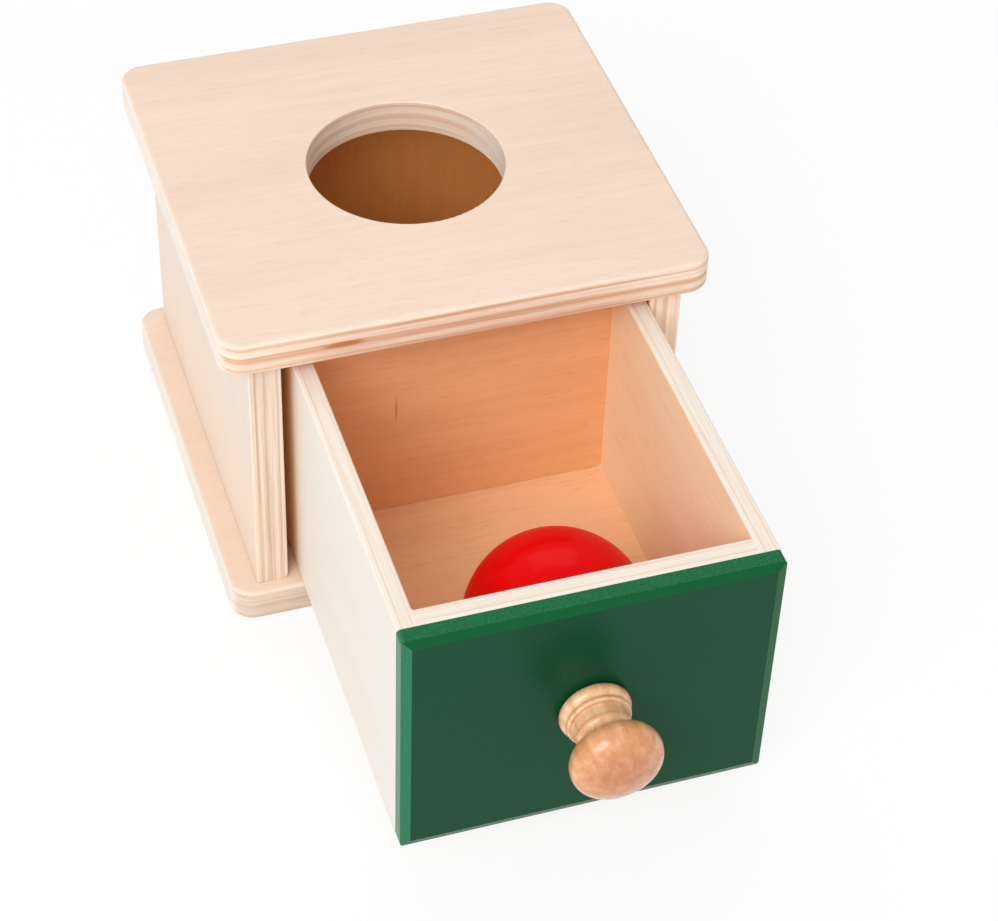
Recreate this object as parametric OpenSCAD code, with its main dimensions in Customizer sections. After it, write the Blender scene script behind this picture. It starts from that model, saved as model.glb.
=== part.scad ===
// Wooden object permanence box: a plywood casing with a ball hole in its top board,
// and a drawer with a painted front panel that catches the ball.
// +Z is up, the drawer opens towards -Y, and the origin is the middle of the base board's underside.

/* [Boards] */
// Width of the top and base boards
board_w = 130; // [110:0.5:170]
// Depth of the top and base boards, front to back
board_d = 123; // [105:0.5:160]
// Thickness of the top and base boards
board_t = 9.8; // [9:0.1:15]
// Radius of the boards' upright corners
board_corner_r = 6.5; // [3:0.5:12]
// Radius sanded on the boards' long edges
board_edge_r = 1.3; // [0.5:0.1:2]

/* [Casing] */
// Height of the upright panels
panel_h = 78; // [70:0.5:110]
// Thickness of the upright panels
panel_t = 8.6; // [7:0.1:12]
// How far the boards stand out past the side panels
side_overhang = 7.2; // [3:0.1:10]
// How far the boards stand out past the panels at the front and at the back
front_overhang = 3.75; // [2:0.05:6]
// Radius sanded on the panels' upright edges
panel_edge_r = 0.5; // [0.2:0.1:1]
// Radius on the foot of each side panel, on the drawer's side
panel_foot_r = 2; // [1:0.1:3]

/* [Ball] */
// Diameter of the ball
ball_d = 48; // [40:0.5:50]
// How far the ball lies to the right of the drawer's middle
ball_offset = 3.1; // [-8:0.1:8]
// How much wider the ball hole is than the ball
hole_play = 5; // [2:0.1:8]
// Radius sanded on both rims of the ball hole
hole_rim_r = 0.4; // [0.3:0.1:1.5]

/* [Drawer] */
// How far the drawer is pulled out
pull_l = 90.1; // [0:0.1:96]
// Thickness of the drawer's four walls
drawer_t = 5.4; // [4.5:0.1:7]
// Gap between the drawer and the left panel
left_gap = 3.3; // [0.3:0.1:4]
// Gap between the drawer and the right panel
right_gap = 0.5; // [0.3:0.1:4]
// Gap between the drawer and the base board that it slides on
slide_gap = 0.4; // [0.2:0.1:1]
// Gap between the drawer and the top board
top_gap = 3.8; // [1:0.1:6]
// Gap left behind the shut drawer
stop_gap = 0.4; // [0.2:0.1:2]
// How far the shut drawer's walls stand out past the panels' front edges
drawer_proud = 2.5; // [0:0.1:4]
// Radius sanded on the top edges of the drawer's walls
drawer_edge_r = 0.7; // [0.3:0.1:1.2]
// Thickness of the drawer's floor board
floor_t = 4; // [3:0.1:6]
// Height of the floor board above the walls' bottom edges
floor_rise = 2.8; // [1.5:0.1:5]
// Depth of the groove that holds the floor board
groove_depth = 2.2; // [1:0.1:3]

/* [Front panel] */
// Thickness of the painted front panel
front_t = 5; // [4:0.1:8]
// Width of the bevel round the front panel's face
bevel_w = 2.4; // [1:0.1:3]
// Depth of that bevel, front to back
bevel_depth = 1; // [0.5:0.1:3]
// Radius of the front panel's corners
front_corner_r = 1.2; // [0.5:0.1:2]

/* [Knob] */
// Radius of the first bead, against the front panel
collar_r = 9.2; // [8:0.1:12]
// Thickness of the first bead
collar_t = 4.1; // [2.5:0.1:5]
// Radius of the second, thin bead
ring_r = 8.3; // [7.5:0.1:10]
// Thickness of the second bead
ring_t = 1.5; // [1:0.1:3]
// Radius of the shoulder beyond the beads
shoulder_r = 7.2; // [6.5:0.1:8]
// Length of the shoulder
shoulder_t = 2.7; // [1.5:0.1:4]
// Radius of the knob's neck
neck_r = 5.6; // [5:0.1:6]
// Radius of the cove that runs from the shoulder to the head
cove_r = 1.9; // [1.7:0.1:3]
// Radius of the knob's flattened head
head_r = 11.7; // [10:0.1:14]
// Thickness of the head
head_t = 13.8; // [11:0.1:18]
// Radius of the rounding at the head's rim
rim_r = 4.6; // [3:0.1:5]
// Height of the knob above the middle of the front panel
knob_rise = 1.2; // [-5:0.1:5]
// How far the knob stands to the right of the middle of the front panel
knob_shift = 0.3; // [-3:0.1:3]

/* [Joinery] */
// Diameter of the hidden dowels
dowel_d = 5; // [4:0.1:5.5]
// Length of a dowel inside a panel's edge
dowel_in_panel = 12; // [8:0.5:16]
// Length of a dowel inside the face that the panel meets
dowel_in_face = 5.5; // [4:0.1:6]
// Bevel on the ends of a dowel
dowel_bevel = 0.6; // [0.3:0.1:1]
// Distance of a dowel from the end of its panel
dowel_inset = 22; // [15:0.5:28]
// Diameter of the knob screw's shank
screw_d = 3.8; // [3:0.1:4.5]
// Diameter of the knob screw's countersunk head
screw_head_d = 7.6; // [6:0.1:9]
// Length of the screw inside the knob
screw_in_knob = 13; // [9:0.5:15]
// Length of the screw's point
screw_point = 3; // [2:0.1:4]
// Width of the cross recess in the screw's head
recess_w = 1; // [0.8:0.1:1.4]
// Length of the cross recess in the screw's head
recess_l = 4.6; // [3.5:0.1:5.5]
// Depth of the cross recess in the screw's head
recess_depth = 1.2; // [0.8:0.1:1.4]

/* [Fits] */
// Gap round a glued dowel, a screw in its hole and the floor board in its groove
glue_gap = 0.1; // [0.05:0.01:0.2]
// Gap between the ball and the drawer that it lies in
rest_gap = 0.3; // [0.2:0.05:0.5]
// How far a cut runs past the surface that it opens
overrun = 1; // [0.5:0.1:2]

/* [Hidden] */
$fn = 96;

// Casing
panel_d = board_d - 2 * front_overhang;
casing_w = board_w - 2 * side_overhang;
inner_w = casing_w - 2 * panel_t;
inner_d = panel_d - panel_t;
top_z = board_t + panel_h;
side_x = casing_w / 2 - panel_t / 2;
back_y = panel_d / 2 - panel_t / 2;
hole_r = (ball_d + hole_play) / 2;

// Drawer, standing open
drawer_w = inner_w - left_gap - right_gap;
drawer_h = panel_h - slide_gap - top_gap;
drawer_d = inner_d - stop_gap + drawer_proud;
drawer_x = (left_gap - right_gap) / 2;
drawer_z = board_t + slide_gap;
drawer_back_y = panel_d / 2 - panel_t - stop_gap - pull_l;
drawer_front_y = drawer_back_y - drawer_d;
drawer_mid_y = (drawer_back_y + drawer_front_y) / 2;
inside_w = drawer_w - 2 * drawer_t;
inside_d = drawer_d - 2 * drawer_t;
floor_z = drawer_z + floor_rise + floor_t;
face_y = drawer_front_y - front_t;

// Knob, measured outwards from the front panel's face
knob_x = drawer_x + knob_shift;
knob_z = drawer_z + drawer_h / 2 + knob_rise;
base_t = collar_t + ring_t + shoulder_t;
cove_at = base_t + cove_r;
// The head's crown, front and back, meets the rounding of its rim smoothly
crown_r = (pow(head_r - rim_r, 2) + pow(head_t / 2, 2) - pow(rim_r, 2)) / (head_t - 2 * rim_r);
crown_edge_r = crown_r * (head_r - rim_r) / (crown_r - rim_r);
// The cove meets the crown at the back of the head smoothly
crown_at = cove_at + sqrt(pow(crown_r + cove_r, 2) - pow(neck_r + cove_r, 2));
head_at = crown_at - crown_r + head_t / 2;
nose_at = head_at + head_t / 2;
cove_share = cove_r / (crown_r + cove_r);
neck_end = cove_at + cove_share * (crown_at - cove_at);

// Knob screw
screw_grip = front_t + drawer_t;
screw_head_t = (screw_head_d - screw_d) / 2;

// Ball, lying against the drawer's front wall
ball_x = drawer_x + ball_offset;
ball_y = drawer_front_y + drawer_t + rest_gap + ball_d / 2;
ball_z = floor_z + rest_gap + ball_d / 2;

// Dowels: places along a side panel and along the back panel
dowel_l = dowel_in_panel + dowel_in_face;
side_dowel_y = panel_d / 2 - dowel_inset;
back_dowel_x = inner_w / 2 - dowel_inset;
back_dowel_z = panel_h / 2 - dowel_inset;

// Colours
birch = "#f3dcc0";
birch_inner = "#e9c79c";
green_paint = "#1f5a3c";
varnished = "#e3b077";
red_lacquer = "#d61518";
beech = "#d9b48a";
steel = "#b9bcc0";

// A rectangle of a by b about the origin, with corners of radius r
module round_rect(a, b, r) {
    square([a - 2 * r, b], center = true);
    square([a, b - 2 * r], center = true);
    for (x = [-1, 1], y = [-1, 1])
        translate([x * (a / 2 - r), y * (b / 2 - r)]) circle(r);
}

// A flat board standing on the XY plane, with round corners and softened edges
module soft_board() {
    translate([0, 0, board_t / 2]) {
        rotate([90, 0, 0])
            linear_extrude(board_d - 2 * board_corner_r, center = true)
                round_rect(board_w, board_t, board_edge_r);
        rotate([90, 0, 90])
            linear_extrude(board_w - 2 * board_corner_r, center = true)
                round_rect(board_d, board_t, board_edge_r);
        for (x = [-1, 1], y = [-1, 1])
            translate([x * (board_w / 2 - board_corner_r), y * (board_d / 2 - board_corner_r), 0])
                rotate_extrude()
                    intersection() {
                        round_rect(2 * board_corner_r, board_t, board_edge_r);
                        translate([0, -board_t / 2]) square([board_corner_r, board_t]);
                    }
    }
}

// The cut that softens the upper rim of a round hole whose mouth is on the XY plane
module rim_cut() {
    rotate_extrude()
        difference() {
            translate([hole_r - hole_rim_r, -hole_rim_r]) square([2 * hole_rim_r, hole_rim_r + overrun]);
            translate([hole_r + hole_rim_r, -hole_rim_r]) circle(hole_rim_r);
            translate([hole_r + hole_rim_r, -hole_rim_r]) square(hole_rim_r + overrun);
        }
}

// One dowel along +Z, its middle section starting in the face below the XY plane
module dowel(gap = 0) {
    r = dowel_d / 2;
    translate([0, 0, -dowel_in_face])
        if (gap > 0)
            translate([0, 0, -gap]) cylinder(r = r + gap, h = dowel_l + 2 * gap);
        else
            rotate_extrude()
                polygon([
                    [0, 0],
                    [r - dowel_bevel, 0],
                    [r, dowel_bevel],
                    [r, dowel_l - dowel_bevel],
                    [r - dowel_bevel, dowel_l],
                    [0, dowel_l]
                ]);
}

// The six dowels that stand in the base board and reach up into the panels
module foot_dowels(gap = 0) {
    translate([0, 0, board_t]) {
        for (x = [-1, 1], y = [-1, 1]) translate([x * side_x, y * side_dowel_y, 0]) dowel(gap);
        for (x = [-1, 1]) translate([x * back_dowel_x, back_y, 0]) dowel(gap);
    }
}

// The same six dowels between the panels and the top board
module head_dowels(gap = 0) {
    translate([0, 0, board_t + top_z]) mirror([0, 0, 1]) foot_dowels(gap);
}

// The four dowels that run from the side panels into the back panel's ends
module end_dowels(gap = 0) {
    for (x = [-1, 1], z = [-1, 1])
        translate([x * inner_w / 2, back_y, board_t + panel_h / 2 + z * back_dowel_z])
            rotate([0, -90 * x, 0])
                dowel(gap);
}

// All dowel holes in the casing
module dowel_holes() {
    foot_dowels(glue_gap);
    head_dowels(glue_gap);
    end_dowels(glue_gap);
}

// The left side panel; the right one is its mirror image
module side_panel() {
    difference() {
        intersection() {
            translate([-side_x, 0, board_t])
                linear_extrude(panel_h)
                    round_rect(panel_t, panel_d, panel_edge_r);
            rotate([90, 0, 0])
                linear_extrude(panel_d + 2 * overrun, center = true)
                    difference() {
                        translate([-side_x - panel_t, board_t]) square([2 * panel_t, panel_h]);
                        translate([-inner_w / 2 - panel_foot_r, board_t])
                            difference() {
                                square(panel_foot_r + overrun);
                                translate([0, panel_foot_r]) circle(panel_foot_r);
                                translate([0, panel_foot_r]) square(panel_foot_r + overrun);
                            }
                    }
        }
        dowel_holes();
    }
}

// The space that the floor board fills in the walls' grooves
module floor_block(gap = 0) {
    size = [inside_w + 2 * (groove_depth + gap), inside_d + 2 * (groove_depth + gap), floor_t + 2 * gap];
    translate([drawer_x, drawer_mid_y, floor_z - floor_t / 2]) cube(size, center = true);
}

// The cut that rounds an edge of length l along the Y axis, with the wood towards -X and -Z
module edge_cut(l) {
    rotate([90, 0, 0])
        linear_extrude(l, center = true)
            translate([-drawer_edge_r, -drawer_edge_r])
                difference() {
                    square(drawer_edge_r + overrun);
                    circle(drawer_edge_r);
                }
}

// The drawer's left wall about x = 0; its inner edge is rounded between the end walls
module drawer_side_board() {
    difference() {
        translate([-drawer_t / 2, drawer_front_y, drawer_z]) cube([drawer_t, drawer_d, drawer_h]);
        translate([drawer_t / 2, drawer_mid_y, drawer_z + drawer_h]) edge_cut(inside_d);
        translate([-drawer_t / 2, drawer_mid_y, drawer_z + drawer_h])
            mirror([1, 0, 0])
                edge_cut(drawer_d + 2 * overrun);
    }
}

// The drawer's front wall about y = 0, fitted between the side walls
module drawer_end_board() {
    difference() {
        translate([drawer_x - inside_w / 2, -drawer_t / 2, drawer_z]) cube([inside_w, drawer_t, drawer_h]);
        translate([drawer_x, drawer_t / 2, drawer_z + drawer_h])
            rotate([0, 0, 90])
                edge_cut(inside_w + 2 * overrun);
    }
}

// Places its children on the knob's axis, with +Z running outwards from the front panel's face
module on_knob_axis() {
    translate([knob_x, face_y, knob_z]) rotate([90, 0, 0]) children();
}

// A hole for the knob screw from the drawer's inside to the front panel's face
module screw_hole() {
    on_knob_axis() {
        translate([0, 0, -screw_grip - overrun])
            cylinder(d = screw_d + 2 * glue_gap, h = screw_grip + 2 * overrun);
        translate([0, 0, -screw_grip])
            cylinder(d1 = screw_head_d + 2 * glue_gap, d2 = screw_d + 2 * glue_gap, h = screw_head_t);
        translate([0, 0, -screw_grip - overrun])
            cylinder(d = screw_head_d + 2 * glue_gap, h = overrun);
    }
}

// Half of the knob's outline, from the front panel's face to the end of the head
module knob_outline() {
    square([collar_r - collar_t / 2, collar_t]);
    translate([collar_r - collar_t / 2, collar_t / 2]) circle(collar_t / 2);
    translate([0, collar_t]) square([ring_r - ring_t / 2, ring_t]);
    translate([ring_r - ring_t / 2, collar_t + ring_t / 2]) circle(ring_t / 2);
    translate([0, collar_t + ring_t]) square([shoulder_r, shoulder_t]);
    difference() {
        translate([0, base_t]) square([shoulder_r, neck_end - base_t]);
        translate([neck_r + cove_r, cove_at]) circle(cove_r);
    }
    intersection() {
        translate([0, crown_at]) circle(crown_r);
        translate([0, nose_at - crown_r]) circle(crown_r);
        translate([0, neck_end]) square([crown_edge_r, nose_at - neck_end]);
    }
    translate([head_r - rim_r, head_at]) circle(rim_r);
}

module base_board() {
    color(birch)
        difference() {
            soft_board();
            foot_dowels(glue_gap);
        }
}

module top_board() {
    color(birch)
        translate([0, 0, top_z])
            difference() {
                soft_board();
                translate([0, 0, -overrun]) cylinder(r = hole_r, h = board_t + 2 * overrun);
                translate([0, 0, board_t]) rim_cut();
                mirror([0, 0, 1]) rim_cut();
                translate([0, 0, -top_z]) head_dowels(glue_gap);
            }
}

module left_panel() {
    color(birch) side_panel();
}

module right_panel() {
    color(birch) mirror([1, 0, 0]) side_panel();
}

module back_panel() {
    color(birch)
        difference() {
            translate([-inner_w / 2, back_y - panel_t / 2, board_t]) cube([inner_w, panel_t, panel_h]);
            dowel_holes();
        }
}

module base_dowels() {
    color(beech) foot_dowels();
}

module top_dowels() {
    color(beech) head_dowels();
}

module back_dowels() {
    color(beech) end_dowels();
}

module drawer_left_wall() {
    color(birch)
        difference() {
            translate([drawer_x - drawer_w / 2 + drawer_t / 2, 0, 0]) drawer_side_board();
            floor_block(glue_gap);
        }
}

module drawer_right_wall() {
    color(birch)
        difference() {
            translate([drawer_x + drawer_w / 2 - drawer_t / 2, 0, 0]) mirror([1, 0, 0]) drawer_side_board();
            floor_block(glue_gap);
        }
}

module drawer_front_wall() {
    color(birch_inner)
        difference() {
            translate([0, drawer_front_y + drawer_t / 2, 0]) drawer_end_board();
            floor_block(glue_gap);
            screw_hole();
        }
}

module drawer_back_wall() {
    color(birch_inner)
        difference() {
            translate([0, drawer_back_y - drawer_t / 2, 0]) mirror([0, 1, 0]) drawer_end_board();
            floor_block(glue_gap);
        }
}

module drawer_floor() {
    color(birch_inner) floor_block();
}

// A panel with a bevel all round its face
module front_panel() {
    across = [
        [-drawer_w / 2, 0],
        [drawer_w / 2, 0],
        [drawer_w / 2, bevel_depth - front_t],
        [drawer_w / 2 - bevel_w, -front_t],
        [bevel_w - drawer_w / 2, -front_t],
        [-drawer_w / 2, bevel_depth - front_t]
    ];
    upright = [
        [0, 0],
        [0, drawer_h],
        [bevel_depth - front_t, drawer_h],
        [-front_t, drawer_h - bevel_w],
        [-front_t, bevel_w],
        [bevel_depth - front_t, 0]
    ];
    color(green_paint)
        difference() {
            translate([drawer_x, drawer_front_y, drawer_z])
                intersection() {
                    linear_extrude(drawer_h) polygon(across);
                    rotate([90, 0, 90]) linear_extrude(drawer_w, center = true) polygon(upright);
                    translate([0, 0, drawer_h / 2])
                        rotate([90, 0, 0])
                            linear_extrude(2 * front_t, center = true)
                                round_rect(drawer_w, drawer_h, front_corner_r);
                }
            screw_hole();
        }
}

module knob() {
    color(varnished)
        on_knob_axis()
            difference() {
                rotate_extrude() knob_outline();
                translate([0, 0, -overrun])
                    cylinder(d = screw_d + 2 * glue_gap, h = screw_in_knob + glue_gap + overrun);
            }
}

// A countersunk screw, flush with the drawer's inside and with its point in the knob
module knob_screw() {
    color(steel)
        on_knob_axis()
            difference() {
                rotate_extrude()
                    polygon([
                        [0, -screw_grip],
                        [screw_head_d / 2, -screw_grip],
                        [screw_d / 2, screw_head_t - screw_grip],
                        [screw_d / 2, screw_in_knob - screw_point],
                        [0, screw_in_knob]
                    ]);
                for (turn = [0, 90])
                    rotate([0, 0, turn])
                        translate([-recess_l / 2, -recess_w / 2, -screw_grip - overrun])
                            cube([recess_l, recess_w, recess_depth + overrun]);
            }
}

module ball() {
    color(red_lacquer) translate([ball_x, ball_y, ball_z]) sphere(d = ball_d);
}

base_board();
top_board();
left_panel();
right_panel();
back_panel();
base_dowels();
top_dowels();
back_dowels();
drawer_left_wall();
drawer_right_wall();
drawer_front_wall();
drawer_back_wall();
drawer_floor();
front_panel();
knob();
knob_screw();
ball();
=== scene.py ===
# %% [markdown]
# # A wooden object permanence box
# A ball drops through the hole in the top board and is found again by pulling the drawer
# out. The imported part comes in first. Every board, the knob and the ball are finished solids
# already, so this lesson gives them their finishes, their light and the photograph's view.

# %% Load the frame
import math
import bmesh
import bpy
from mathutils import Matrix, Vector


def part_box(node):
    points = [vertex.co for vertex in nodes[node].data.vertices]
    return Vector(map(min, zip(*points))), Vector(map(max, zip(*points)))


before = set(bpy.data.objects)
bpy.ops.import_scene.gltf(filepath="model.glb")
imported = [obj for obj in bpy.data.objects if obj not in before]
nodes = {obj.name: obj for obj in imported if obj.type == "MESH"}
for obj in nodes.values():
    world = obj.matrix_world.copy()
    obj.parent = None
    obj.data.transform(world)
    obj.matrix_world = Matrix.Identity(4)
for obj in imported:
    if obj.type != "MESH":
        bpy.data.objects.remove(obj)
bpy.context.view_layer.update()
scene = bpy.context.scene
scene.view_settings.view_transform = "Standard"

# %% [markdown]
# ## Placing shader nodes
# A finish here is a chain of shader nodes. In the editor they are dragged in and wired one by
# one. In a script each takes three steps: make the node, set its options, fill its sockets.
# `put` does the three at once, and `fill` links a socket or sets its value, whichever it is
# given. `new_group` makes a group with named sockets, so that a finish is written once, and
# `group` places it in a material.

# %% Helpers for nodes and groups
def put(tree, kind, sockets=None, **options):
    node = tree.nodes.new("ShaderNode" + kind)
    for name, value in options.items():
        setattr(node, name, value)
    for key, value in (sockets or {}).items():
        fill(tree, node.inputs[key], value)
    return node


def fill(tree, socket, value):
    if isinstance(value, bpy.types.NodeSocket):
        tree.links.new(value, socket)
    else:
        socket.default_value = value


def new_group(name, inputs, outputs):
    tree = bpy.data.node_groups.new(name, "ShaderNodeTree")
    for side, sockets in (("INPUT", inputs), ("OUTPUT", outputs)):
        for label, kind in sockets.items():
            tree.interface.new_socket(label, in_out=side, socket_type="NodeSocket" + kind)
    start, end = tree.nodes.new("NodeGroupInput"), tree.nodes.new("NodeGroupOutput")
    return tree, start.outputs, end.inputs


def group(tree, kind, sockets):
    return put(tree, "Group", sockets, node_tree=kind).outputs


print("groups so far:", len(bpy.data.node_groups))

# %% [markdown]
# ## Sums in shader nodes
# The finishes need sums, such as how far a point lies from a board's face. Each sum is a node,
# and these helpers name them, so that a chain reads like a formula. `ease` turns a range of
# values into a soft step. `noise` gives the random figure that wood and paint have. Its values
# mostly lie between 0.3 and 0.7, so that is the range to stretch.

# %% Helpers for sums
NOISE_RANGE = (0.3, 0.7)


def calc(tree, operation, a, b=0.0):
    return put(tree, "Math", {0: a, 1: b}, operation=operation).outputs[0]


def vector_calc(tree, operation, a, b=(0.0, 0.0, 0.0)):
    return put(tree, "VectorMath", {0: a, 1: b}, operation=operation).outputs[0]


def dot(tree, a, b):
    return put(tree, "VectorMath", {0: a, 1: b}, operation="DOT_PRODUCT").outputs["Value"]


def ease(tree, value, low, high, to_low=0.0, to_high=1.0):
    step = put(tree, "MapRange", {
        "Value": value, "From Min": low, "From Max": high, "To Min": to_low,
        "To Max": to_high}, interpolation_type="SMOOTHSTEP")
    return step.outputs["Result"]


def noise(tree, place, scale, detail=2.0, roughness=0.5):
    return put(tree, "TexNoise", {
        "Vector": place, "Scale": scale, "Detail": detail,
        "Roughness": roughness}).outputs["Fac"]


print("noise is stretched from", NOISE_RANGE)

# %% [markdown]
# ## Mixing
# Wood is one colour mixed over another, again and again, each time by a mask. Blender's Mix
# node does it for colours and for plain values. It holds sockets for all its kinds at once,
# and only the ones in use are enabled, so `blend` looks for those by name.

# %% Helpers for mixing
def blend(tree, factor, a, b, mode="MIX"):
    node = put(tree, "Mix", data_type="RGBA", blend_type=mode)
    for key, value in (("Factor", factor), ("A", a), ("B", b)):
        fill(tree, next(s for s in node.inputs if s.name == key and s.enabled), value)
    return next(s for s in node.outputs if s.enabled)


def between(tree, factor, a, b):
    return put(tree, "Mix", {0: factor, 2: a, 3: b}).outputs[0]


def rgb(red, green, blue):
    """A screen colour of 0 to 255 in the linear light that the shaders use."""
    linear = [((c / 255 + 0.055) / 1.055) ** 2.4 if c > 10 else c / 255 / 12.92
              for c in (red, green, blue)]
    return (*linear, 1.0)


print("a mid grey of 128 is", round(rgb(128, 128, 128)[0], 3), "in linear light")

# %% [markdown]
# ## Wood figure
# Wood shows long streaks along its grain. A noise texture gives them when its coordinates
# are squeezed across the grain and stretched along it. One noise makes broad tone, one
# the streaks and a finer one the short dark pores. An image would need a photograph of wood
# and shows its seams, while noise in object coordinates runs through each solid board.

# %% Group: wood figure
BROAD_TONE = (9, 45, 2, 0.5)  # per metre along and across the grain, detail, roughness
STREAKS = (24, 420, 4, 0.65)
SHORT_PORES = (200, 1500, 2, 0.5)
PORE_EDGE = (0.54, 0.72)  # only the noise's peaks are pores

figure, g_in, g_out = new_group(
    "Wood figure",
    {"Vector": "Vector", "Along": "Vector", "Across": "Vector", "Depth": "Vector"},
    {"Tone": "Float", "Streak": "Float", "Pores": "Float"})
along, across, depth = (
    dot(figure, g_in["Vector"], g_in[way]) for way in ("Along", "Across", "Depth"))


def grain_noise(along_scale, across_scale, detail, roughness):
    place = put(figure, "CombineXYZ", {
        0: calc(figure, "MULTIPLY", along, along_scale),
        1: calc(figure, "MULTIPLY", across, across_scale),
        2: calc(figure, "MULTIPLY", depth, across_scale)}).outputs[0]
    return noise(figure, place, 1.0, detail, roughness)


fill(figure, g_out["Tone"], grain_noise(*BROAD_TONE))
fill(figure, g_out["Streak"], grain_noise(*STREAKS))
fill(figure, g_out["Pores"], ease(figure, grain_noise(*SHORT_PORES), *PORE_EDGE))
print("figure nodes:", len(figure.nodes))

# %% [markdown]
# ## Inside mask
# The wood inside the casing and the drawer is painted deeper and more orange than outside, as
# painted bounce light and shade: light bounces from wood to wood there. A mask tells which
# points lie
# in a box: the distance from the box's middle, less half its size, is negative on all axes.

# %% Group: box mask
MASK_FADE = 0.0002  # metres on each side of the box's faces

mask, g_in, g_out = new_group(
    "Box mask", {"Vector": "Vector", "Middle": "Vector", "Half": "Vector"},
    {"Inside": "Float"})
offset = vector_calc(mask, "SUBTRACT", g_in["Vector"], g_in["Middle"])
reach = vector_calc(mask, "ABSOLUTE", offset)
past = put(mask, "SeparateXYZ", {0: vector_calc(mask, "SUBTRACT", reach, g_in["Half"])}).outputs
furthest = calc(mask, "MAXIMUM", calc(mask, "MAXIMUM", past[0], past[1]), past[2])
fill(mask, g_out["Inside"], ease(mask, furthest, -MASK_FADE, MASK_FADE, 1.0, 0.0))
print("mask nodes:", len(mask.nodes))

# %% [markdown]
# ## Veneers
# Plywood is a stack of veneers. How far a point lies through the board, as a share of its
# thickness, tells which veneer it is in. Real veneers wander a little, so noise shifts the
# share, and a finer noise that runs along the edge gives the thin lines between them.

# %% Group: veneers
WANDER_SCALE, WANDER = 45.0, 0.012  # per metre, and as a share of the thickness
LINES_ALONG, LINES_THROUGH = 25.0, 2000.0  # per metre along the edge and through the board
LINES_DETAIL, LINES_ROUGHNESS = 3.0, 0.6

veneers, g_in, g_out = new_group(
    "Veneers", {"Vector": "Vector", "Depth": "Vector", "Low": "Float", "Thickness": "Float"},
    {"Share": "Float", "Lines": "Float"})
level = calc(veneers, "SUBTRACT", dot(veneers, g_in["Vector"], g_in["Depth"]), g_in["Low"])
share = calc(veneers, "DIVIDE", level, g_in["Thickness"])
wander = noise(veneers, g_in["Vector"], WANDER_SCALE, 1.0)
shift = ease(veneers, wander, *NOISE_RANGE, -WANDER, WANDER)
fill(veneers, g_out["Share"], calc(veneers, "ADD", share, shift))

slow = vector_calc(veneers, "MULTIPLY", g_in["Vector"], (LINES_ALONG,) * 3)
through = calc(veneers, "MULTIPLY", level, LINES_THROUGH)
fast = put(veneers, "VectorMath", {0: g_in["Depth"], "Scale": through}, operation="SCALE")
lines_place = vector_calc(veneers, "ADD", slow, fast.outputs[0])
lines = noise(veneers, lines_place, 1.0, LINES_DETAIL, LINES_ROUGHNESS)
fill(veneers, g_out["Lines"], lines)
print("veneer nodes:", len(veneers.nodes))

# %% [markdown]
# ## Spots
# Worked wood has small marks: a knot, a nick, a drop of glue. Painting them would need an
# image, so this group masks one mark by its distance from a point instead. The distance is
# divided by the mark's own half size on each axis, which makes it round, long or flat.

# %% Group: spot
SPOT_EDGE = (0.4, 1.0)  # full inside the first share of its half size, gone at the second

spot, g_in, g_out = new_group(
    "Spot", {"Vector": "Vector", "Middle": "Vector", "Half": "Vector"}, {"Inside": "Float"})
offset = vector_calc(spot, "SUBTRACT", g_in["Vector"], g_in["Middle"])
offset = vector_calc(spot, "DIVIDE", offset, g_in["Half"])
apart = put(spot, "VectorMath", {0: offset}, operation="LENGTH").outputs["Value"]
fill(spot, g_out["Inside"], ease(spot, apart, *SPOT_EDGE, 1.0, 0.0))
print("spot nodes:", len(spot.nodes))

# %% [markdown]
# ## Plywood
# The veneers are glued with their grain crossed. On an edge, a veneer that is cut across its
# grain is darker than one that is cut along it. `Dark` says how dark the veneer at this
# depth is, and the normal says whether the point lies on an edge, so the same rule bands the
# front edges and the wall of the ball hole, with no unwrapping. The edges that the face
# grain runs out of are sanded pale. The rounded rim between a face and an edge gets a painted
# highlight: a pale line where light catches it.

# %% Group: plywood, its cut edges
FACE_TO_EDGE = (0.9, 0.4)  # how squarely the normal looks through the board
END_TO_SIDE = (0.2, 0.8)  # how squarely it looks across the face grain
LINE_SHADE = (-0.25, 0.4)  # what the thin lines add to a veneer's darkness
SANDED_END = (0.95, 0.86, 0.78, 1)
# The painted highlight's colour on the rounded rim, and how strongly it shows.
RIM_HIGHLIGHT, RIM_HIGHLIGHT_STRENGTH = (1.0, 0.86, 0.74, 1), 1.4

plywood, g_in, g_out = new_group(
    "Plywood",
    {"Vector": "Vector", "Normal": "Vector", "Grain": "Vector", "Cross": "Vector",
     "Depth": "Vector", "Dark": "Float", "Lines": "Float", "Face": "Color", "Pale": "Color",
     "End": "Color", "Contrast": "Float"},
    {"Color": "Color", "Height": "Float"})
face_on = calc(plywood, "ABSOLUTE", dot(plywood, g_in["Normal"], g_in["Depth"]))
edge = ease(plywood, face_on, *FACE_TO_EDGE)
side_on = calc(plywood, "ABSOLUTE", dot(plywood, g_in["Normal"], g_in["Cross"]))
crosswise = ease(plywood, side_on, *END_TO_SIDE)

dark = between(plywood, crosswise, 0.0, g_in["Dark"])
dark = calc(plywood, "ADD", dark, ease(plywood, g_in["Lines"], *NOISE_RANGE, *LINE_SHADE))
cut = blend(plywood, dark, blend(plywood, crosswise, SANDED_END, g_in["Pale"]), g_in["End"])
colour = blend(plywood, edge, g_in["Face"], cut)
# Painted highlight along the rounded rim, strongest halfway from face to edge.
rim_highlight = calc(plywood, "MULTIPLY", edge, calc(plywood, "SUBTRACT", 1.0, edge))
colour = blend(plywood, calc(plywood, "MULTIPLY", rim_highlight, RIM_HIGHLIGHT_STRENGTH), colour, RIM_HIGHLIGHT)
print("plywood sockets:", list(g_in.keys()))

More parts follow.
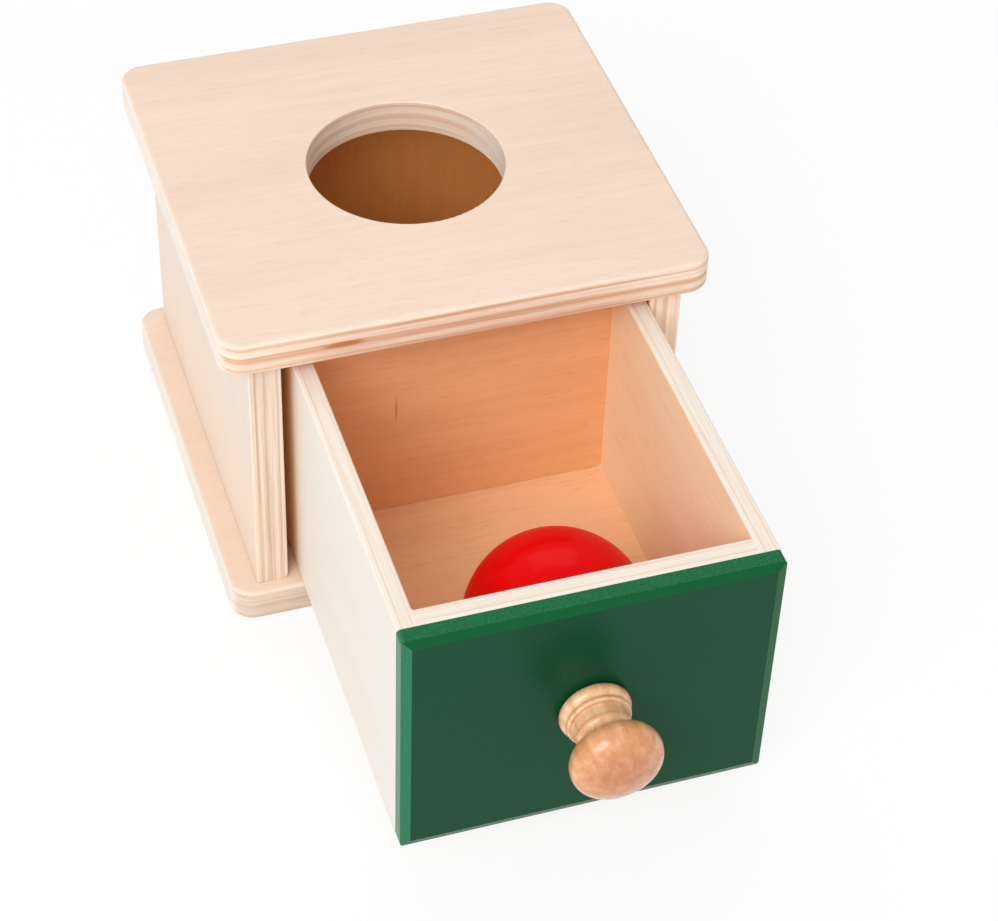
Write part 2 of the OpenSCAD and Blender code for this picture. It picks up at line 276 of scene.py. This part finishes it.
# %% [markdown]
# ## Figure on the plywood
# The wood figure then goes over faces and edges alike. The broad tone and the streaks make
# the colour lighter and darker, and the pores only darker. A plain grey factor would look
# dusty, so each of red, green and blue gets its own share of it. The streaks less the pores
# are also the height that the bump will read.

# %% Group: plywood, its figure
TONE_SHADE, PORE_SHADE = (-0.5, 0.5), 1.1
SHADE_IN_RGB = (0.7, 1.0, 1.4)  # darker wood loses blue first, so it turns warmer

wood = group(plywood, figure, {
    "Vector": g_in["Vector"], "Along": g_in["Grain"], "Across": g_in["Cross"],
    "Depth": g_in["Depth"]})
tone, streak = (
    ease(plywood, wood[name], *NOISE_RANGE, *TONE_SHADE) for name in ("Tone", "Streak"))
pores = calc(plywood, "MULTIPLY", wood["Pores"], PORE_SHADE)
shade = calc(plywood, "SUBTRACT", calc(plywood, "ADD", tone, streak), pores)
shade = calc(plywood, "MULTIPLY", shade, g_in["Contrast"])
tint = put(plywood, "CombineColor", {
    channel: calc(plywood, "ADD", calc(plywood, "MULTIPLY", shade, part), 1.0)
    for channel, part in enumerate(SHADE_IN_RGB)}).outputs[0]
fill(plywood, g_out["Color"], blend(plywood, 1.0, colour, tint, "MULTIPLY"))
height = calc(plywood, "SUBTRACT", wood["Streak"], wood["Pores"])
fill(plywood, g_out["Height"], height)
print("plywood nodes:", len(plywood.nodes))

# %% [markdown]
# ## Dressing a piece
# A material is made with its Principled shader, then takes the place of the piece's plain
# one. The solid itself stays as it is. A bump node bends the light a little where the
# finish is rough, which costs no extra faces. `ramp` turns a list of places and greys into a
# colour ramp: it will hold each board's veneers.

# %% Helpers for materials
BUMP_DEPTH = 0.0002  # metres


def new_material(name):
    material = bpy.data.materials.new(name)
    material.use_nodes = True
    tree = material.node_tree
    return material, tree, tree.nodes["Principled BSDF"]


def dress(node, material):
    nodes[node].data.materials.clear()
    nodes[node].data.materials.append(material)


def roughen(tree, shader, height, strength):
    bump = put(tree, "Bump", {"Strength": strength, "Distance": BUMP_DEPTH, "Height": height})
    fill(tree, shader.inputs["Normal"], bump.outputs[0])


def ramp(tree, factor, stops):
    node = put(tree, "ValToRGB", {0: factor})
    elements = node.color_ramp.elements
    elements[1].position = stops[-1][0]
    for place, _ in stops[1:-1]:
        elements.new(place)
    for element, (place, grey) in zip(elements, stops):
        element.position = place
        element.color = (grey, grey, grey, 1)
    return node.outputs[0]


print("plain materials to replace:", len(bpy.data.materials))

# %% [markdown]
# ## A material for each board
# Each board needs its own axes: which way it is thin and which way its face grain runs. Its
# lowest place and its thickness are measured on the solid, so they stay right if a size
# changes. `look` is the colour of the face, of a pale and of a dark veneer on the edge, and
# how strong the figure is. `inner` is the face's colour and figure inside the room, painted
# deeper and more orange as painted bounce light and shade. The Principled shader stays in the
# material, and the groups only feed it.

# %% Helper for boards
AXIS = {"X": Vector((1, 0, 0)), "Y": Vector((0, 1, 0)), "Z": Vector((0, 0, 1))}
BOARD_BUMP, BOARD_SPECULAR = 0.05, 0.35
BOARD_ROUGHNESS = (0.2, 0.8, 0.55, 0.45)  # low and high wood, and the roughness there


def board(node, thin, grain, bands, look, inner, room, marks=()):
    face, pale, end, contrast = look
    low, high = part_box(node)
    cross = next(a for a in "XYZ" if a not in (thin, grain))
    material, tree, shader = new_material(node + "_plywood")
    place = put(tree, "TexCoord").outputs
    inside = group(tree, mask, {
        "Vector": place["Object"], "Middle": (room[0] + room[1]) / 2,
        "Half": (room[1] - room[0]) / 2})["Inside"]
    stack = group(tree, veneers, {
        "Vector": place["Object"], "Depth": AXIS[thin], "Low": low.dot(AXIS[thin]),
        "Thickness": (high - low).dot(AXIS[thin])})
    ply = group(tree, plywood, {
        "Vector": place["Object"], "Normal": place["Normal"], "Grain": AXIS[grain],
        "Cross": AXIS[cross], "Depth": AXIS[thin],
        "Dark": ramp(tree, stack["Share"], bands), "Lines": stack["Lines"],
        "Face": blend(tree, inside, face, inner[0]), "Pale": pale, "End": end,
        "Contrast": between(tree, inside, contrast, inner[1])})
    colour = ply["Color"]
    for middle, half, mark, strength in marks:
        near = group(tree, spot, {
            "Vector": place["Object"], "Middle": middle, "Half": half})["Inside"]
        colour = blend(tree, calc(tree, "MULTIPLY", near, strength), colour, mark)
    fill(tree, shader.inputs["Base Color"], colour)
    fill(tree, shader.inputs["Roughness"], ease(tree, ply["Height"], *BOARD_ROUGHNESS))
    roughen(tree, shader, ply["Height"], BOARD_BUMP)
    shader.inputs["Specular IOR Level"].default_value = BOARD_SPECULAR
    dress(node, material)


print("axes:", list(AXIS))

# %% [markdown]
# ## The casing's colours
# The casing is pale birch-like plywood, sanded and thinly sealed. Its left side is painted the
# palest and coolest, as painted light from the side the light falls on. The back and the right
# side, which the photograph doesn't show, are a little warmer; the right side's edge colours are
# painted warm bounce light for its shaded edge, and the base is a little darker, as painted
# shade.
# The dark and pale veneers on a cut edge are ramps: at each share of the thickness, how dark the
# veneer is. A ramp is easier to match to a real edge than a row of even stripes.

# %% Casing colours
top_look = (rgb(243, 217, 196), rgb(250, 229, 208), rgb(222, 174, 140), 0.05)
# Painted shade: the base board is a little darker than the top.
base_look = (rgb(238, 214, 194), rgb(232, 209, 190), rgb(208, 184, 162), 0.04)
# Painted light: the left side is painted the palest and coolest.
left_look = (rgb(237, 221, 207), rgb(240, 221, 203), rgb(200, 164, 134), 0.025)
# Painted warm bounce light in the right panel's pale and end colours, for its shaded edge.
right_look = (rgb(242, 220, 200), rgb(255, 228, 204), rgb(224, 180, 144), 0.04)
back_look = (rgb(242, 220, 200), rgb(240, 221, 203), rgb(200, 164, 134), 0.04)
# The inner colours are painted bounce light and shade: deeper and more orange inside the casing.
back_inner_bounce, panel_inner_bounce = (rgb(248, 178, 102), 0.05), (rgb(255, 202, 130), 0.08)

top_bands = (
    (0.0, 0.5), (0.08, 0.35), (0.17, 0.8), (0.25, 0.15), (0.38, 0.15), (0.45, 0.95),
    (0.54, 0.95), (0.62, 0.1), (0.77, 0.0), (0.84, 0.75), (0.88, 0.6), (0.94, 0.05),
    (1.0, 0.0))
base_bands = (
    (0.0, 0.6), (0.12, 0.65), (0.28, 0.3), (0.42, 0.35), (0.52, 0.6), (0.62, 0.3),
    (0.78, 0.2), (0.9, 0.45), (1.0, 0.2))
panel_bands = (
    (0.0, 0.0), (0.11, 0.0), (0.19, 0.8), (0.27, 0.05), (0.33, 0.0), (0.42, 0.6),
    (0.54, 0.5), (0.62, 0.05), (0.7, 0.0), (0.79, 0.4), (0.88, 0.35), (0.94, 0.0),
    (1.0, 0.05))
print("veneer stops:", len(top_bands), len(base_bands), len(panel_bands))

# %% [markdown]
# ## The casing's inside and marks
# The room for the mask is the space between the panels, a hair larger, so that the panels'
# inner faces count as inside, and 1 mm shorter at the front, so that their front edges don't.
# Four marks: a knot in the top board's front edge, as on the real box, painted light that makes
# the hole's wall paler, painted warm bounce light on the left panel's foot, and the dark joint
# line under it with painted contact shade.

# %% Casing room and marks
left_low, left_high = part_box("left_panel")
base_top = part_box("base_board")[1].z
top_low, top_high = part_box("top_board")
hair, front_step = Vector((0.0004, 0.0004, 0.0004)), 0.001  # metres
cavity = (
    Vector((left_high.x, left_low.y + front_step, base_top)) - hair,
    Vector((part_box("right_panel")[0].x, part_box("back_panel")[0].y, top_low.z)) + hair)
# The base's painted bounce shade starts further in, behind the panels' front edges.
base_front_step = Vector((0, 0.011, 0))  # the base's inner tone starts further in
base_room = (cavity[0] + base_front_step, cavity[1])

# A mark is its middle, its half size in metres, its colour and its strength.
knot = (Vector((-0.0338, top_low.y, top_high.z - 0.0048)), Vector((0.0075, 0.002, 0.0012)),
        rgb(196, 124, 70), 0.9)
# Painted light: the wall of the hole is painted paler, as if more light reached it.
bore_painted_light = (Vector((0, 0, top_high.z - 0.005)), Vector((0.045, 0.045, 0.0075)),
             rgb(255, 238, 220), 0.5)
# Painted bounce light: the left panel's foot is painted warmer, as light bounces up from the
# base.
foot_bounce_light = (Vector((left_low.x, 0, 0.01)), Vector((0.004, 0.3, 0.055)),
             rgb(246, 217, 189), 0.4)
# A dark glue joint with painted contact shade where the panel meets the base.
joint_and_contact_shade = (Vector((left_low.x, 0, base_top)), Vector((0.004, 0.3, 0.0006)),
              rgb(186, 146, 112), 0.6)
print("inside of the casing, mm:", [round(v * 1000, 1) for v in cavity[1] - cavity[0]])

# %% [markdown]
# ## The casing's boards
# The top and base boards have their face grain from side to side, and the upright panels
# from bottom to top, as a joiner would lay it. Each row gives a board's thin way, its grain
# way and its finish.

# %% Casing boards
casing_boards = (
    ("top_board", "Z", "X", top_bands, top_look, back_inner_bounce, cavity, (knot, bore_painted_light)),
    ("base_board", "Z", "X", base_bands, base_look, back_inner_bounce, base_room, ()),
    ("left_panel", "X", "Z", panel_bands, left_look, panel_inner_bounce, cavity,
     (foot_bounce_light, joint_and_contact_shade)),
    ("right_panel", "X", "Z", panel_bands, right_look, panel_inner_bounce, cavity, ()),
    ("back_panel", "Y", "Z", panel_bands, back_look, back_inner_bounce, cavity, ()))
for row in casing_boards:
    board(*row)
print("casing boards:", len(casing_boards))

# %% [markdown]
# ## The drawer's inside and marks
# The drawer's walls are thin plywood of three veneers, with the face grain lying down. Their
# top edges stay pale, so the room for the mask ends just below the rounded edges. The marks
# are a nick in the back wall, a drop of glue in the corner, and painted warm bounce light
# where the side walls run in the shaded gap inside the casing.

# %% Drawer room and marks
left_wall_low, left_wall_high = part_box("drawer_left_wall")
right_wall_low, right_wall_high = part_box("drawer_right_wall")
back_wall_low, back_wall_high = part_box("drawer_back_wall")
floor_low, floor_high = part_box("drawer_floor")
rounded_edge = 0.0008  # metres
drawer_room = (
    Vector((left_wall_high.x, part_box("drawer_front_wall")[1].y, floor_low.z)) - hair,
    Vector((right_wall_low.x, back_wall_low.y, back_wall_high.z - rounded_edge)) + hair)

nick = (Vector((-0.016, back_wall_low.y, 0.053)), Vector((0.0003, 0.001, 0.0055)),
        rgb(176, 104, 58), 0.7)
glue = (Vector((right_wall_low.x, back_wall_low.y, floor_high.z)),
        Vector((0.0018, 0.0015, 0.0012)), rgb(250, 226, 200), 0.8)
# Painted warm bounce light on the side walls' outer faces, in the shaded gap of the casing.
left_gap_bounce, right_gap_bounce = (
    (Vector((x, left_wall_high.y, 0.05)), Vector((0.002, 0.02, 0.2)), rgb(250, 212, 164), 0.8)
    for x in (left_wall_low.x, right_wall_high.x))
print("inside of the drawer, mm:", [round(v * 1000, 1) for v in drawer_room[1] - drawer_room[0]])

# %% [markdown]
# ## The drawer's boards
# Inside, the end walls are the most orange and the side walls the palest, because each
# catches the bounced light differently. All five boards share one stack of veneers.

# %% Drawer boards
wall_look = (rgb(238, 229, 219), rgb(244, 234, 222), rgb(234, 204, 176), 0.025)
right_wall_look = (rgb(243, 224, 206), *wall_look[1:])
wall_bands = (
    (0.0, 0.0), (0.2, 0.0), (0.27, 0.65), (0.34, 0.15), (0.5, 0.1), (0.74, 0.15), (0.8, 0.6),
    (0.86, 0.0), (1.0, 0.0))
# The inner colours are painted bounce light and shade: deeper and more orange inside the drawer.
side_inner_bounce, end_inner_bounce = (rgb(255, 230, 195), 0.06), (rgb(243, 187, 136), 0.08)
floor_inner_bounce = (rgb(255, 211, 167), 0.1)
drawer_boards = (
    ("drawer_left_wall", "X", "Y", wall_look, side_inner_bounce, (left_gap_bounce,)),
    ("drawer_right_wall", "X", "Y", right_wall_look, side_inner_bounce, (right_gap_bounce,)),
    ("drawer_front_wall", "Y", "X", wall_look, end_inner_bounce, ()),
    ("drawer_back_wall", "Y", "X", wall_look, end_inner_bounce, (nick, glue)),
    ("drawer_floor", "Z", "X", wall_look, floor_inner_bounce, (glue,)))
for node, thin, grain, look, inner, marks in drawer_boards:
    board(node, thin, grain, wall_bands, look, inner, drawer_room, marks)
print("drawer boards:", len(drawer_boards))

# %% [markdown]
# ## Green paint
# The front panel has satin green paint. It runs thin on the sawn sides, which a brush leaves
# mottled. The left bevel is painted lighter, as painted light: it catches the most light. The
# face is a darker green than the bevels, partly painted shade. Three masks from the normal
# tell the face, the bevels and the sides apart: the face looks straight out along Y, and the
# bevels and the sides turn away from it. Painting by the normal needs no seams.

# %% Front panel
FACE_TO_BEVEL, BEVEL_TO_SIDE = (0.98, 0.94), (0.75, 0.5)
LEFT_BEVEL = (-0.1, -0.35)  # how far the normal leans to the left
PAINT_MOTTLE = (1600.0, 3200.0, 3200.0)  # per metre, longer from side to side
THIN_PAINT, LEFT_BEVEL_LIGHT = (0.35, 0.7), (0.8, 1.0)  # how the mottle shows on sides and bevel
PAINT_BUMP, PAINT_SPECULAR, PAINT_ROUGHNESS = 0.06, 0.15, (0.24, 0.34)

material, tree, shader = new_material("green_paint")
place = put(tree, "TexCoord").outputs
mottle = noise(tree, vector_calc(tree, "MULTIPLY", place["Object"], PAINT_MOTTLE), 1.0, 4.0)
normal = put(tree, "SeparateXYZ", {0: place["Normal"]}).outputs
facing = calc(tree, "ABSOLUTE", normal[1])
turned, side = ease(tree, facing, *FACE_TO_BEVEL), ease(tree, facing, *BEVEL_TO_SIDE)
# Painted light: the left bevel, lit from the left, is painted lighter.
left = calc(tree, "MULTIPLY", turned, ease(tree, normal[0], *LEFT_BEVEL))
# The face is painted darker than the bevels, partly as painted shade.
colour = blend(tree, turned, rgb(3, 69, 41), rgb(2, 88, 44))
thin_paint = calc(tree, "MULTIPLY", side, ease(tree, mottle, *THIN_PAINT))
colour = blend(tree, thin_paint, colour, rgb(10, 118, 68))
# The painted light on the left bevel follows the mottle.
left = calc(tree, "MULTIPLY", left, ease(tree, mottle, *NOISE_RANGE, *LEFT_BEVEL_LIGHT))
fill(tree, shader.inputs["Base Color"], blend(tree, left, colour, rgb(44, 120, 83)))
fill(tree, shader.inputs["Roughness"], ease(tree, mottle, *NOISE_RANGE, *PAINT_ROUGHNESS))
roughen(tree, shader, mottle, PAINT_BUMP)
shader.inputs["Specular IOR Level"].default_value = PAINT_SPECULAR
dress("front_panel", material)
print("painted:", material.name)

# %% [markdown]
# ## Red lacquer
# The ball has a glossy red lacquer, which the Principled shader makes with its coat: a clear
# layer with its own sharper highlight, over a duller red. A faint bump, like the peel of an
# orange, keeps it from looking like plastic.

# %% Ball
LACQUER_CLOUDS, LACQUER_PEEL = 60.0, 500.0  # per metre
LACQUER_BUMP, LACQUER_SPECULAR, LACQUER_ROUGHNESS = 0.04, 0.02, (0.35, 0.45)
LACQUER_COAT, LACQUER_COAT_ROUGHNESS = 0.16, 0.06

material, tree, shader = new_material("red_lacquer")
place = put(tree, "TexCoord").outputs["Object"]
clouds = noise(tree, place, LACQUER_CLOUDS, 3.0)
fill(tree, shader.inputs["Base Color"], blend(tree, clouds, rgb(230, 2, 4), rgb(238, 4, 9)))
fill(tree, shader.inputs["Roughness"], ease(tree, clouds, *NOISE_RANGE, *LACQUER_ROUGHNESS))
roughen(tree, shader, noise(tree, place, LACQUER_PEEL), LACQUER_BUMP)
shader.inputs["Specular IOR Level"].default_value = LACQUER_SPECULAR
shader.inputs["Coat Weight"].default_value = LACQUER_COAT
shader.inputs["Coat Roughness"].default_value = LACQUER_COAT_ROUGHNESS
dress("ball", material)
print("painted:", material.name)

# %% [markdown]
# ## Turned wood
# The knob and the dowels are round wood with the grain along their axis, so they share the
# figure of the boards. Where the surface looks along the axis it is end grain, which drinks
# more varnish and comes out darker. The turning tool leaves fine rings round the axis: a
# noise that changes along the axis alone gives them, as bump.

# %% Helper for round wood
END_GRAIN, END_TINT = (0.75, 1.0), (0.8, 0.7, 0.66, 1)
RINGS = 1600.0  # per metre of the axis
ROUND_BUMP, ROUND_ROUGHNESS = 0.06, (0.5, 0.38)


def round_wood(name, along, dull, bright, marks=()):
    material, tree, shader = new_material(name)
    place = put(tree, "TexCoord").outputs
    others = [AXIS[a] for a in "XYZ" if a != along]
    grain = group(tree, figure, {
        "Vector": place["Object"], "Along": AXIS[along], "Across": others[0],
        "Depth": others[1]})
    streak = ease(tree, grain["Streak"], *NOISE_RANGE)
    colour = blend(tree, streak, dull, bright)
    facing = calc(tree, "ABSOLUTE", dot(tree, place["Normal"], AXIS[along]))
    colour = blend(tree, ease(tree, facing, *END_GRAIN), colour, END_TINT, "MULTIPLY")
    for middle, half, tint in marks:
        near = group(tree, spot, {
            "Vector": place["Object"], "Middle": middle, "Half": half})["Inside"]
        colour = blend(tree, near, colour, tint, "MULTIPLY")
    fill(tree, shader.inputs["Base Color"], colour)
    roughness = ease(tree, grain["Streak"], *NOISE_RANGE, *ROUND_ROUGHNESS)
    fill(tree, shader.inputs["Roughness"], roughness)
    axis_place = vector_calc(tree, "MULTIPLY", place["Object"], AXIS[along] * RINGS)
    rings = noise(tree, axis_place, 1.0)
    roughen(tree, shader, calc(tree, "ADD", streak, rings), ROUND_BUMP)
    return material, shader


print("turning rings per mm:", RINGS / 1000)

# %% [markdown]
# ## The knob and the dowels
# The knob is turned from one piece and varnished, so it gets a clear coat. Its head is painted
# darker, as painted shade: one large spot round the head tints it. The dowels are plain, and lie
# in their holes, so they need only the wood and the way it runs.

# %% Knob and dowels
KNOB_COAT, KNOB_COAT_ROUGHNESS = 0.8, 0.12
# The head's darker place is painted shade, centred this far behind the knob's front.
HEAD_DEPTH = 0.004  # from the knob's front to the middle of its worn place
knob_low, knob_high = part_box("knob")
knob_middle = (knob_low + knob_high) / 2
# Painted shade: a large spot that tints the knob's head darker.
head_shade = (Vector((knob_middle.x, knob_low.y + HEAD_DEPTH, knob_middle.z)),
        Vector((0.022, 0.013, 0.022)), (0.82, 0.6, 0.48, 1))
material, shader = round_wood(
    "varnished_wood", "Y", rgb(233, 169, 116), rgb(253, 212, 168), (head_shade,))
shader.inputs["Coat Weight"].default_value = KNOB_COAT
shader.inputs["Coat Roughness"].default_value = KNOB_COAT_ROUGHNESS
dress("knob", material)

dowel_dull, dowel_bright = rgb(208, 168, 124), rgb(226, 194, 156)
upright_wood, _ = round_wood("dowel_wood", "Z", dowel_dull, dowel_bright)
lying_wood, _ = round_wood("back_dowel_wood", "X", dowel_dull, dowel_bright)
dress("base_dowels", upright_wood)
dress("top_dowels", upright_wood)
dress("back_dowels", lying_wood)
print("knob size, mm:", [round(v * 1000, 1) for v in knob_high - knob_low])

# %% [markdown]
# ## The screw
# A screw from inside the drawer holds the knob. It is bright zinc, so the shader is fully
# metallic, and a fine noise makes its polish slightly uneven.

# %% Screw
ZINC_SCALE, ZINC_ROUGHNESS = 900.0, (0.28, 0.42)  # per metre, and from dull to bright

material, tree, shader = new_material("screw_steel")
zinc = noise(tree, put(tree, "TexCoord").outputs["Object"], ZINC_SCALE, 3.0)
zinc_colour = blend(tree, zinc, rgb(176, 179, 184), rgb(194, 197, 200))
fill(tree, shader.inputs["Base Color"], zinc_colour)
fill(tree, shader.inputs["Roughness"], ease(tree, zinc, *NOISE_RANGE, *ZINC_ROUGHNESS))
shader.inputs["Metallic"].default_value = 1.0
dress("knob_screw", material)
print("materials:", len(bpy.data.materials))

# %% [markdown]
# ## Floor
# The photograph has a white floor. More light would bleach the wood, so the white comes from
# the floor itself: camera rays see mostly plain white, and part of the diffuse surface, so
# the floor keeps the object's shadow. Shiny things see the same white floor.

# %% Floor sheet
FLOOR_HALF, FLOOR_DROP = 3.0, 0.0002  # metres; just below the base board

floor_mesh = bpy.data.meshes.new("floor")
sheet = bmesh.new()
bmesh.ops.create_grid(sheet, x_segments=1, y_segments=1, size=FLOOR_HALF)
sheet.to_mesh(floor_mesh)
sheet.free()
floor = bpy.data.objects.new("floor", floor_mesh)
floor.location.z = -FLOOR_DROP
scene.collection.objects.link(floor)
print("floor, m:", [round(v, 2) for v in floor.dimensions])

# %% Floor finish
FLOOR_WHITE = 0.85  # the share of plain white
FLOOR_COLOUR, FLOOR_ROUGHNESS = (0.95, 0.95, 0.95, 1), 0.9

material, tree, shader = new_material("floor")
shader.inputs["Base Color"].default_value = FLOOR_COLOUR
shader.inputs["Roughness"].default_value = FLOOR_ROUGHNESS
light_path = put(tree, "LightPath").outputs
seen = calc(tree, "MAXIMUM", light_path["Is Camera Ray"], light_path["Is Glossy Ray"])
seen = calc(tree, "MAXIMUM", seen, light_path["Is Transmission Ray"])
glow = put(tree, "Emission", {"Color": (1, 1, 1, 1), "Strength": 1.0}).outputs[0]
both = put(tree, "MixShader", {
    0: calc(tree, "MULTIPLY", seen, FLOOR_WHITE), 1: shader.outputs[0], 2: glow}).outputs[0]
tree.links.new(both, tree.nodes["Material Output"].inputs["Surface"])
floor_mesh.materials.append(material)
print("share of plain white:", FLOOR_WHITE)

# %% [markdown]
# ## Light
# A white world lights every side softly. A large square lamp at the front left, from where the
# photograph's light falls, shapes the box and leaves the drawer's left inside in shade. A wide
# weak lamp behind gives the ball its highlight. Both look at the drawer.

# %% World and lamps
LIT_POINT = Vector((0, -0.05, 0.05))
WORLD_STRENGTH = 0.62

world = bpy.data.worlds.new("studio")
scene.world = world
world.use_nodes = True
sky = world.node_tree.nodes["Background"].inputs
sky["Color"].default_value = (1, 1, 1, 1)
sky["Strength"].default_value = WORLD_STRENGTH


def softbox(name, place, width, height, power):
    lamp = bpy.data.lights.new(name, "AREA")
    lamp.shape = "RECTANGLE"
    lamp.size, lamp.size_y = width, height
    lamp.energy = power
    thing = bpy.data.objects.new(name, lamp)
    thing.location = place
    thing.rotation_euler = (Vector(place) - LIT_POINT).to_track_quat("Z", "Y").to_euler()
    scene.collection.objects.link(thing)


softbox("key", (-0.79, -0.99, 1.08), width=0.9, height=0.9, power=14.5)
softbox("back", (0.2, 0.95, 1.3), width=1.3, height=0.8, power=3)

# %% [markdown]
# ## Camera
# The photograph's view was found by fitting the box's straight edges: how far the camera
# turns round the box, how far it looks down, and a small roll. A lens length follows from
# the focal length in pixels and the width of the picture, 998 by 921.

# %% Camera
TURN, DROP, ROLL = (math.radians(angle) for angle in (-19.175, 43.630, 2.279))
FOCAL_PIXELS, PICTURE_WIDTH = 2719.5, 998
CAMERA_PLACE = (-0.16345, -0.55502, 0.53985)

level_right = Vector((math.cos(TURN), math.sin(TURN), 0))
back = Vector((math.sin(TURN) * math.cos(DROP), -math.cos(TURN) * math.cos(DROP),
               math.sin(DROP)))
right = level_right * math.cos(ROLL) + back.cross(level_right) * math.sin(ROLL)
up = back.cross(right)
camera_data = bpy.data.cameras.new("camera")
camera_data.sensor_fit = "HORIZONTAL"
camera_data.lens = FOCAL_PIXELS / PICTURE_WIDTH * camera_data.sensor_width
camera = bpy.data.objects.new("camera", camera_data)
facing_box = Matrix((right, up, back)).transposed().to_4x4()
camera.matrix_world = Matrix.Translation(CAMERA_PLACE) @ facing_box
scene.collection.objects.link(camera)
scene.camera = camera
print("lens, mm:", round(camera_data.lens, 1))
